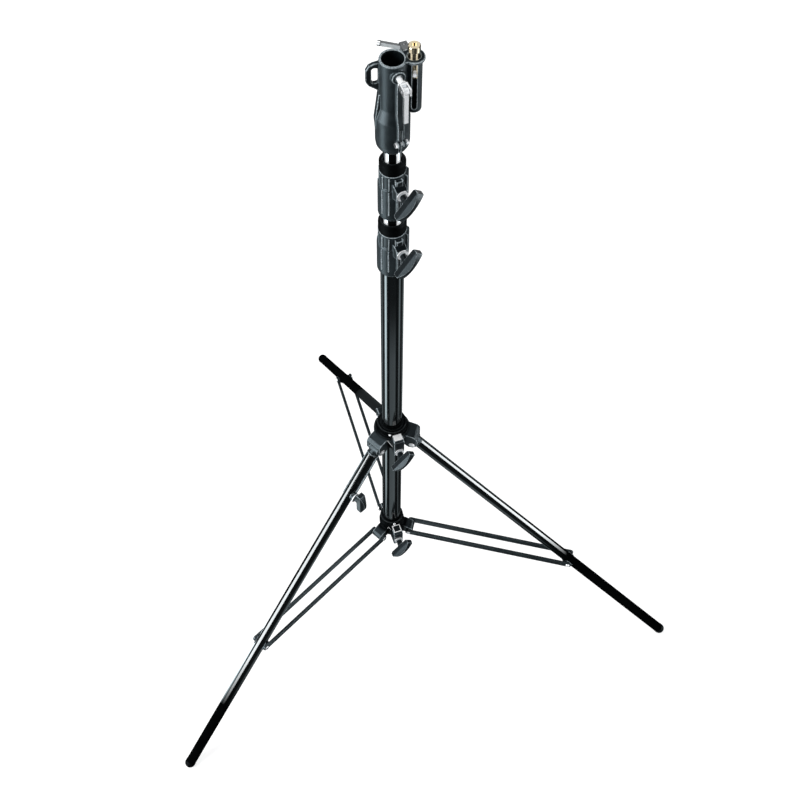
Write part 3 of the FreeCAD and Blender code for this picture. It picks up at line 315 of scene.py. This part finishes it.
# painted reflections: how bright a metal is painted from its middle (0) to its outline (1)
TUBE_TONES = ((0.0, 0.01), (0.07, 0.02), (0.11, 1.0), (0.36, 1.0), (0.48, 0.03), (1.0, 0.02))
PART_TONES = ((0.0, 1.0), (0.55, 1.0), (0.67, 0.12), (1.0, 0.03))
SHADED_TONES = ((0.0, 1.0), (0.24, 1.0), (0.36, 0.10), (1.0, 0.03))
GLINT_TONES = ((0.0, 0.22), (0.05, 0.16), (0.10, 1.0), (0.32, 1.0), (0.42, 0.22), (1.0, 0.04))
EVEN_TONES = ((0.0, 1.0), (1.0, 1.0))

COATS = {
    "black_gloss": dict(colour=(0.0016, 0.0020, 0.0022), roughness=0.11, grain=240.0, grain_height=0.006 * MM,
                        coat=0.25, mottle=0.25, dust=0.0, gloss_fades=True, tinge=(0.90, 0.97, 1.0)),
    "black_casting": dict(colour=(0.0075, 0.0110, 0.0130), roughness=0.40, grain=1500.0,
                          grain_height=0.040 * MM, wear_and_highlight=0.95, specular=0.24, dense=True),
    "black_plastic": dict(colour=(0.0060, 0.0085, 0.0100), roughness=0.36, grain=2600.0,
                          grain_height=0.030 * MM, wear_and_highlight=0.95, specular=0.16, dense=True),
    "cap_plastic": dict(colour=(0.0004, 0.0005, 0.0005), roughness=0.55, grain=1800.0,
                        grain_height=0.012 * MM, specular=0.02, dust=0.008),
    "black_steel": dict(colour=(0.0130, 0.0180, 0.0200), roughness=0.34, grain=1300.0,
                        grain_height=0.030 * MM, wear_and_highlight=0.3, specular=0.25),
    "plain_casting": dict(colour=(0.0030, 0.0042, 0.0048), roughness=0.42, grain=1500.0,
                          grain_height=0.040 * MM, specular=0.2),
    "foot_rubber": dict(colour=(0.0010, 0.0012, 0.0013), roughness=0.55, grain=1100.0,
                        grain_height=0.050 * MM, specular=0.04, mottle=0.5, dust=0.01),
    "liner_plastic": dict(colour=(0.0022, 0.0026, 0.0030), roughness=0.48, grain=1900.0,
                          grain_height=0.020 * MM, specular=0.15),
    "dark_label": dict(colour=(0.0090, 0.0110, 0.0120), roughness=0.30, grain=2400.0,
                       grain_height=0.015 * MM, wear_and_highlight=0.2, specular=0.3),
}
# the metals' tones and glow are painted reflections, and outline is painted shade on their rims
METALS = {
    "chrome": dict(colour=(0.90, 0.92, 0.94), roughness=0.05, brush=(1.0, 1.0, 0.06), tarnish=0.03,
                   tones=TUBE_TONES, glow=0.70, upright=True),
    "plated_steel": dict(colour=(0.86, 0.88, 0.90), roughness=0.34, brush=(1.0, 1.0, 0.20), tarnish=0.05,
                         tones=PART_TONES, glow=0.20, metallic=0.35, outline=0.85),
    "shaded_steel": dict(colour=(0.80, 0.83, 0.85), roughness=0.28, brush=(1.0, 1.0, 0.20), tarnish=0.08,
                         tones=SHADED_TONES, glow=0.25, metallic=0.6, outline=0.9),
    "brass": dict(colour=(1.0, 0.86, 0.60), roughness=0.16, brush=(1.0, 1.0, 0.12), tarnish=0.10,
                  tones=GLINT_TONES, glow=0.65, upright=True),
    "silver_label": dict(colour=(0.93, 0.94, 0.94), roughness=0.34, brush=(0.08, 1.0, 1.0), tarnish=0.16,
                         tones=EVEN_TONES, glow=0.30, metallic=0.35),
}
FINISH = {name: coated(name, **look) for name, look in COATS.items()}
FINISH.update((name, metal(name, **look)) for name, look in METALS.items())


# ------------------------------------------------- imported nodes: finish and edges

SLOT_OF = {part["node"]: part["material_slot"] for part in frame["record"]["subparts"]}
# radius of the rounded edges in millimetres
EDGE_WIDTH = {
    "black_gloss": 0.35, "cap_plastic": 0.7, "black_steel": 0.6, "foot_rubber": 0.6, "liner_plastic": 0.2,
    "dark_label": 0.2, "brass": 0.35, "silver_label": 0.2,
}
USUAL_EDGE = 0.3
# fineness of the mesh in millimetres, for shapes whose edges and corners all run into each other
CAST_MESH = {"black_casting": 0.8, "black_plastic": 0.5}
# nodes whose finish differs a little from the rest of their slot
OWN_FINISH = {
    "right_leg_saddle": "plain_casting", "rear_leg_saddle": "plain_casting",
    "levelling_leg_saddle": "plain_casting", "stud_lever": "shaded_steel", "stud_screw": "shaded_steel",
}


def weld_seams(piece):
    """Merge the loose seams of a node's mesh."""
    weld = piece.modifiers.new("weld", "WELD")
    weld.merge_threshold = 0.002 * MM


def round_edges(piece, width, angle):
    """Round the edges that turn by more than an angle; gives the modifier."""
    bevel = piece.modifiers.new("bevel", "BEVEL")
    bevel.width = width * MM
    bevel.segments = 3
    bevel.limit_method = "ANGLE"
    bevel.angle_limit = math.radians(angle)
    return bevel


def weigh_normals(piece):
    """Let the large faces set the shading, so that flat faces look flat."""
    normals = piece.modifiers.new("normals", "WEIGHTED_NORMAL")
    normals.keep_sharp = True


def cast_skin(piece, size):
    """A fine even mesh over the solid, with its edges and inner corners rounded as in a casting."""
    weld_seams(piece)
    skin = piece.modifiers.new("skin", "REMESH")
    skin.mode = "VOXEL"
    skin.voxel_size = size * MM
    skin.use_smooth_shade = True
    smooth = piece.modifiers.new("smooth", "SMOOTH")
    smooth.factor = 0.5
    smooth.iterations = 7


def soften(piece, width):
    """Small rounded edges on the solid."""
    weld_seams(piece)
    round_edges(piece, width, 34).loop_slide = False
    weigh_normals(piece)


def finish_nodes():
    """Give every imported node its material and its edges."""
    for name, piece in nodes.items():
        slot = SLOT_OF[name]
        finish = OWN_FINISH.get(name, slot)
        piece.data.materials.clear()
        piece.data.materials.append(FINISH[finish])
        if "custom_normal" in piece.data.attributes:
            piece.data.attributes.remove(piece.data.attributes["custom_normal"])
        piece.data.shade_smooth()
        if finish in CAST_MESH:
            cast_skin(piece, CAST_MESH[finish])
        else:
            soften(piece, EDGE_WIDTH.get(slot, USUAL_EDGE))


# -------------------------------------------------------------------- placings

def spot(azimuth, radius, height):
    """A point round the column, from degrees and millimetres."""
    angle = math.radians(azimuth)
    return Vector((radius * math.cos(angle), radius * math.sin(angle), height)) * MM


def facing(origin, outward, hint=UP):
    """A placing with Z along outward and X as near the hint as it can be."""
    z_axis = outward.normalized()
    x_axis = (hint - z_axis * hint.dot(z_axis)).normalized()
    y_axis = z_axis.cross(x_axis)
    turn = Matrix((x_axis, y_axis, z_axis)).transposed().to_4x4()
    return Matrix.Translation(origin) @ turn


def radial(azimuth):
    """The direction away from the column at an angle round it."""
    angle = math.radians(azimuth)
    return Vector((math.cos(angle), math.sin(angle), 0))


# ----------------------------------------------------------------- mesh pieces

def from_bmesh(name, mesh, place, slot, body, bevel):
    """Make an object of a bmesh built in millimetres, finish it and let it ride on a body."""
    bmesh.ops.scale(mesh, vec=(MM, MM, MM), verts=mesh.verts)
    bmesh.ops.transform(mesh, matrix=place, verts=mesh.verts)
    bmesh.ops.recalc_face_normals(mesh, faces=mesh.faces)
    data = bpy.data.meshes.new(name)
    mesh.to_mesh(data)
    mesh.free()
    data.materials.append(FINISH[slot])
    data.shade_smooth()
    piece = bpy.data.objects.new(name, data)
    scene.collection.objects.link(piece)
    if bevel:
        round_edges(piece, bevel, 30)
    weigh_normals(piece)
    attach(piece, body)
    return piece


def lathe(name, profile, place, slot, body, sides, bevel=0.0):
    """A closed turned piece; the profile is (radius, height) in millimetres, and 0 radius is a pole."""
    mesh = bmesh.new()
    rings = []
    for radius, height in profile:
        if radius == 0:
            rings.append([mesh.verts.new((0, 0, height))])
            continue
        rings.append([
            mesh.verts.new((radius * math.cos(turn), radius * math.sin(turn), height))
            for turn in (math.tau * step / sides for step in range(sides))
        ])
    closed = profile[0][0] != 0
    pairs = list(zip(rings, rings[1:])) + ([(rings[-1], rings[0])] if closed else [])
    for low, high in pairs:
        for step in range(sides):
            after = (step + 1) % sides
            corners = [low[step % len(low)], low[after % len(low)],
                       high[after % len(high)], high[step % len(high)]]
            unique = list(dict.fromkeys(corners))
            if len(unique) > 2:
                mesh.faces.new(unique)
    return from_bmesh(name, mesh, place, slot, body, bevel)


def prism(name, outline, low, high, place, slot, body, bevel):
    """An outline in the placing's XY plane, drawn out between two heights."""
    mesh = bmesh.new()
    floor = [mesh.verts.new((x, y, low)) for x, y in outline]
    roof = [mesh.verts.new((x, y, high)) for x, y in outline]
    mesh.faces.new(floor[::-1])
    mesh.faces.new(roof)
    for step in range(len(outline)):
        after = (step + 1) % len(outline)
        mesh.faces.new((floor[step], floor[after], roof[after], roof[step]))
    return from_bmesh(name, mesh, place, slot, body, bevel)


def ring(name, inner, outer, low, high, place, slot, body, sides, bevel):
    """A plain ring between two radii and two heights."""
    profile = [(inner, low), (outer, low), (outer, high), (inner, high)]
    return lathe(name, profile, place, slot, body, sides, bevel)


def cap_screw(name, place, radius, body):
    """A domed screw head with a socket sunk in it."""
    lathe(name, [
        (0, -0.6), (radius, -0.6), (radius, radius * 0.35), (radius * 0.82, radius * 0.62),
        (radius * 0.52, radius * 0.72), (radius * 0.46, radius * 0.30), (0, radius * 0.26),
    ], place, "plated_steel", body, 24)


def rib_section(root_depth, root_half, proud, crest_half):
    """A tapered rib's section: sunk by the root's depth, standing proud of the wall."""
    return [(-root_depth, -root_half), (proud, -crest_half), (proud, crest_half), (-root_depth, root_half)]


def square_frame(name, half, border, low, high, place, slot, body):
    """A raised square border."""
    mesh = bmesh.new()
    loops = []
    for size, height in ((half, low), (half, high), (half - border, high), (half - border, low)):
        loops.append([mesh.verts.new((x * size, y * size, height)) for x, y in
                      ((-1, -1), (1, -1), (1, 1), (-1, 1))])
    for here, there in zip(loops, loops[1:] + loops[:1]):
        for step in range(4):
            after = (step + 1) % 4
            mesh.faces.new((here[step], here[after], there[after], there[step]))
    return from_bmesh(name, mesh, place, slot, body, 0.15)


# ---------------------------------------------------------- stage, light, camera

# the surroundings' brightness: as light on the piece, to the eye and to mirrors
FILL = 0.17
BACKDROP = 1.0
MIRROR_SKY = 0.05
# (degrees round the column from its front, brightness): how the floor shows in a mirror
SIDE_BANDS = (
    (-180, 0.05), (-138, 0.05), (-130, 0.40), (-116, 0.40), (-108, 0.05), (-88, 0.05), (-80, 2.0), (-76, 6.0),
    (-62, 6.0), (-54, 0.05), (66, 0.05), (72, 1.1), (84, 1.1), (92, 0.05), (122, 0.05), (128, 0.40),
    (142, 0.40), (150, 0.05), (180, 0.05),
)
FRONT_BAND = ((-180, 0.0), (-30, 0.0), (-24, 0.58), (34, 0.68), (42, 0.0), (180, 0.0))
COOL_WHITE = (0.80, 0.95, 1.0)
# the bands' share close to the column and the front one's share further out, over these distances in metres
SIDE_NEAR, SIDE_REACH = 0.25, (0.20, 0.65)
FRONT_FAR, FRONT_REACH = 0.05, (0.58, 0.72)
# the floor's glow, and how it rises to the eye over these distances in metres until it is plain white
FLOOR_GLOW = 0.22
FLOOR_TO_EYE = (0.57, 0.80)
FLOOR_FADE = (1.0, 3.5)
FLOOR_HALF = 30
FLOOR_GAP = 0.2 * MM


def set_world():
    """White surroundings for the eye, a soft fill for the light, dark ones for mirrors."""
    world = bpy.data.worlds.new("studio")
    world.use_nodes = True
    scene.world = world
    tree = world.node_tree
    tree.nodes.clear()
    path = tree.nodes.new("ShaderNodeLightPath")
    out = tree.nodes.new("ShaderNodeOutputWorld")
    shown = None
    for colour, strength, ray in (((0.93, 0.97, 1.0), FILL, None),
                                  ((1.0, 1.0, 1.0), BACKDROP, "Is Camera Ray"),
                                  ((0.90, 0.96, 1.0), MIRROR_SKY, "Is Glossy Ray")):
        glow = tree.nodes.new("ShaderNodeBackground")
        glow.inputs["Color"].default_value = shade(colour)
        glow.inputs["Strength"].default_value = strength
        if ray:
            mix = tree.nodes.new("ShaderNodeMixShader")
            tree.links.new(path.outputs[ray], mix.inputs[0])
            tree.links.new(shown, mix.inputs[1])
            tree.links.new(glow.outputs[0], mix.inputs[2])
            shown = mix.outputs[0]
        else:
            shown = glow.outputs[0]
    tree.links.new(shown, out.inputs["Surface"])


def bands(shader, share, stops, peak=1.0):
    """The brightness of a set of bands, as a share of its peak."""
    return shader.ramp(share, [((degrees + 180) / 360, level / peak) for degrees, level in stops])


def floor_material():
    """Near white to the eye with faint shadows; bands of light and dark to mirrors."""
    shader = Shader("floor")
    tree = shader.tree
    shader.feed("Base Color", shade((0.40, 0.40, 0.40)))
    shader.feed("Roughness", 0.9)
    shader.feed("Specular IOR Level", 0.0)
    shader.feed("Emission Color", shade((1.0, 1.0, 1.0)))
    path = shader.add("ShaderNodeLightPath").outputs
    place = shader.add("ShaderNodeNewGeometry").outputs["Position"]
    reach = shader.length(place)
    to_eye = shader.spread(reach, *FLOOR_TO_EYE, *FLOOR_FADE)
    seen = shader.maths("MULTIPLY", path["Is Camera Ray"], to_eye)
    shader.feed("Emission Strength", shader.maths("ADD", FLOOR_GLOW, seen))
    parts = shader.parts(place)
    forward = shader.maths("MULTIPLY", parts["Y"], -1.0)
    turn = shader.maths("ARCTAN2", parts["X"], forward)
    share = shader.spread(turn, 0.0, 1.0, -math.pi, math.pi)
    peak = max(level for _, level in SIDE_BANDS)
    sides = shader.maths("MULTIPLY", bands(shader, share, SIDE_BANDS, peak),
                         shader.spread(reach, SIDE_NEAR * peak, peak, *SIDE_REACH))
    front = shader.maths("MULTIPLY", bands(shader, share, FRONT_BAND),
                         shader.spread(reach, 1.0, FRONT_FAR, *FRONT_REACH))
    glow = shader.add("ShaderNodeEmission", {
        "Color": shade(COOL_WHITE), "Strength": shader.maths("ADD", sides, front),
    })
    mix = shader.add("ShaderNodeMixShader", {0: path["Is Glossy Ray"]})
    tree.links.new(shader.surface.outputs[0], mix.inputs[1])
    tree.links.new(glow.outputs[0], mix.inputs[2])
    tree.links.new(mix.outputs[0], tree.nodes["Material Output"].inputs["Surface"])
    return shader.material


def set_floor():
    """A plain floor just under the feet."""
    mesh = bmesh.new()
    bmesh.ops.create_grid(mesh, x_segments=1, y_segments=1, size=FLOOR_HALF)
    data = bpy.data.meshes.new("floor")
    mesh.to_mesh(data)
    mesh.free()
    data.materials.append(floor_material())
    floor = bpy.data.objects.new("floor", data)
    floor.location.z = cad_box[0][2] - FLOOR_GAP
    scene.collection.objects.link(floor)


def softbox(name, position, target, width, height, power, mirror_only=False):
    """A rectangular lamp that looks at a target; one for mirrors only lights no matt surface."""
    light = bpy.data.lights.new(name, "AREA")
    light.shape = "RECTANGLE"
    light.size, light.size_y = height, width  # the placing's X points up
    light.energy = power
    lamp = bpy.data.objects.new(name, light)
    lamp.matrix_world = facing(Vector(position), Vector(position) - Vector(target))
    lamp.visible_diffuse = not mirror_only
    scene.collection.objects.link(lamp)


def set_lights():
    """Soft panels round the piece, and two strips that only mirrors see."""
    middle, low = (0, 0, 0.7), (0, 0, 0.45)
    softbox("key_panel", (-2.7, -1.5, 2.7), middle, 1.5, 1.5, 95)
    softbox("left_strip", (-2.35, -1.30, 0.80), low, 2.3, 1.2, 150, mirror_only=True)
    softbox("right_strip", (2.75, -0.40, 0.62), low, 2.0, 1.1, 115, mirror_only=True)
    softbox("right_panel", (2.3, -1.8, 1.6), middle, 0.5, 1.0, 22)
    softbox("top_panel", (-0.5, 0.6, 3.8), middle, 1.3, 1.3, 30)
    softbox("back_panel", (1.4, 2.6, 1.8), middle, 0.6, 1.6, 24)
    softbox("back_left_panel", (-2.5, 1.6, 1.8), middle, 0.5, 1.6, 24)


# the camera's place in metres, its angles in degrees, its sensor and focal length in millimetres
CAMERA_AT = (0, -1.2098, 2.5161)
CAMERA_TILT, CAMERA_PAN, CAMERA_ROLL = 56.879, 0.643, 0.676
SENSOR, FOCAL_LENGTH = 36.0, 59.2


def set_camera():
    """The camera that was fitted to the picture; it looks down and a little to the right."""
    lens = bpy.data.cameras.new("camera")
    lens.sensor_width = SENSOR
    lens.lens = FOCAL_LENGTH
    lens.clip_end = 60.0
    camera = bpy.data.objects.new("camera", lens)
    scene.collection.objects.link(camera)
    tilt, pan, roll = (math.radians(angle) for angle in (CAMERA_TILT, CAMERA_PAN, CAMERA_ROLL))
    ahead = Vector((math.sin(pan) * math.cos(tilt), math.cos(pan) * math.cos(tilt), -math.sin(tilt)))
    right = Vector((math.cos(pan), -math.sin(pan), 0))
    above = right.cross(ahead)
    x_axis = right * math.cos(roll) + above * math.sin(roll)
    y_axis = above * math.cos(roll) - right * math.sin(roll)
    turn = Matrix((x_axis, y_axis, -ahead)).transposed().to_4x4()
    camera.matrix_world = Matrix.Translation(CAMERA_AT) @ turn
    scene.camera = camera


# --------------------------------------------------------------- small fittings

def hinge(name):
    """A joint's place and axis, with the axis as it points at rest."""
    joint = joints[name]
    return Vector(joint["pos_m"]), Vector(joint["axis"])


def tube_lips():
    """Turned lips where each riser leaves its lock, and the beads down each cap."""
    for prefix, body, riser in (("lower", "base_column", 15.0), ("upper", "mid_riser", 12.5)):
        low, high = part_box(prefix + "_lock_cap")
        outer = (high[0] - low[0]) / 2 / MM
        top = Matrix.Translation((0, 0, high[2]))
        ring(prefix + "_cap_wiper", riser + 0.6, riser + 2.6, -1.6, 0.35, top, "liner_plastic", body, 48, 0.4)
        for step in range(3):
            crest = -8.4 - 2.2 * step
            ring(f"{prefix}_cap_bead_{step}", outer - 1.2, outer - 0.1, crest - 1.0, crest, top,
                 "cap_plastic", body, 72, 0.3)


# how far the washers lie from the middle of the hoods and of the braces, and a pin head's profile
HOOD_SIDE = 15.4
STRAP_SIDE = 10.6
PIN_DOME = ((0, 0.2), (3.4, 0.2), (3.2, 1.5), (2.2, 2.2), (1.4, 2.0), (1.2, 1.2), (0, 1.1))


def pivot_washers():
    """Bright washers and pin heads on both sides of each leg's hood, and washers in the braces."""
    for leg in ("levelling", "right", "rear"):
        place, axis = hinge(leg + "_leg_fold")
        for side in (1, -1):
            outside = facing(place + axis * side * HOOD_SIDE * MM, axis * side)
            ring(f"{leg}_pin_washer_{side + 1}", 3.2, 5.6, -0.15, 0.55, outside, "plated_steel",
                 "upper_collar", 32, 0.2)
            lathe(f"{leg}_pin_dome_{side + 1}", PIN_DOME, outside, "plated_steel", "upper_collar", 28)
        place, axis = hinge(leg + "_brace_fold")
        for side in (1, -1):
            inside = facing(place + axis * side * STRAP_SIDE * MM, axis * side)
            ring(f"{leg}_strap_washer_{side + 1}", 2.7, 4.6, 0.0, 0.7, inside, "plated_steel",
                 leg + "_brace", 28, 0.15)


# the way the lower collar's clamp lug and badge point
LUG_AZIMUTH = 289
# (collar, azimuth, distance from the axis, height, radius) of the set screws in the hubs
HUB_SCREWS = (("lower", 284, 21.6, 255.5, 2.6), ("upper", 262, 24.9, 589.0, 2.4))


def badge_frame():
    """A pale square border on the lower collar's badge."""
    low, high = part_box("lower_collar_plate")
    middle = Vector(((low[0] + high[0]) / 2, (low[1] + high[1]) / 2, high[2]))
    place = facing(middle, UP, radial(LUG_AZIMUTH))
    square_frame("lower_badge_frame", 7.5, 1.4, -0.4, 0.5, place, "silver_label", "lower_collar")


def hub_screws():
    """A small screw head in each collar's hub."""
    for prefix, azimuth, reach, height, radius in HUB_SCREWS:
        place = facing(spot(azimuth, reach, height), radial(azimuth))
        cap_screw(prefix + "_hub_screw", place, radius, prefix + "_collar")


# the way the collars' front openings point
FRONT_AZIMUTH = 256.6
GABLE_HALF_SPAN = 9.5
# (collar, radius of its skirt, height of the gable's feet and of its ridge)
GABLES = (("upper", 31.5, 559.5, 579.6), ("lower", 23.8, 223.5, 245.6))


def gable_edges():
    """Pale strips along the gable-shaped opening at the front of both collars: worn edges with a painted
    highlight.
    """
    along, across = radial(FRONT_AZIMUTH), radial(FRONT_AZIMUTH + 90)
    section = rib_section(1.0, 0.75, 0.35, 0.45)
    for prefix, outer, foot, ridge in GABLES:
        top = spot(FRONT_AZIMUTH, outer, ridge)
        depth = math.sqrt(outer ** 2 - GABLE_HALF_SPAN ** 2)
        for side in (-1, 1):
            end = spot(FRONT_AZIMUTH, depth, foot) + across * side * GABLE_HALF_SPAN * MM
            slope = end - top
            prism(f"{prefix}_gable_edge_{side + 1}", section, 0, slope.length / MM,
                  facing(top, slope, along), "silver_label", prefix + "_collar", 0.2)


RIB_AZIMUTHS = (228, 256, 12, 60, 110, 160)
FIN_AZIMUTHS = (282, 309)


def lock_ribs():
    """Upright ribs down the outer wall of both locks, and the fins beside the clamp boss."""
    rib, fin = rib_section(2.2, 1.3, 0.3, 0.6), rib_section(2.2, 0.9, 2.6, 0.6)
    for prefix, body, outer in (("lower", "base_column", 21.7), ("upper", "mid_riser", 19.7)):
        low, high = (corner[2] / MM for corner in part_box(prefix + "_lock_casting"))
        foot, ledge, top = low + 14, high - 28, high - 3
        for number, azimuth in enumerate(RIB_AZIMUTHS):
            for part, (bottom, ceiling, wider) in enumerate(((foot, ledge, 1.6), (ledge - 2, top, 0.0))):
                place = facing(spot(azimuth, outer + wider, 0), UP, radial(azimuth))
                prism(f"{prefix}_lock_rib_{number}_{part}", rib, bottom, ceiling, place,
                      "black_casting", body, 0.35)
        for number, azimuth in enumerate(FIN_AZIMUTHS):
            place = facing(spot(azimuth, outer, 0), UP, radial(azimuth))
            prism(f"{prefix}_lock_fin_{number}", fin, top - 12, top - 2, place, "black_casting", body, 0.3)


scene.view_settings.view_transform = "Standard"
finish_nodes()
tube_lips()
pivot_washers()
badge_frame()
hub_screws()
gable_edges()
lock_ribs()
set_world()
set_floor()
set_lights()
set_camera()
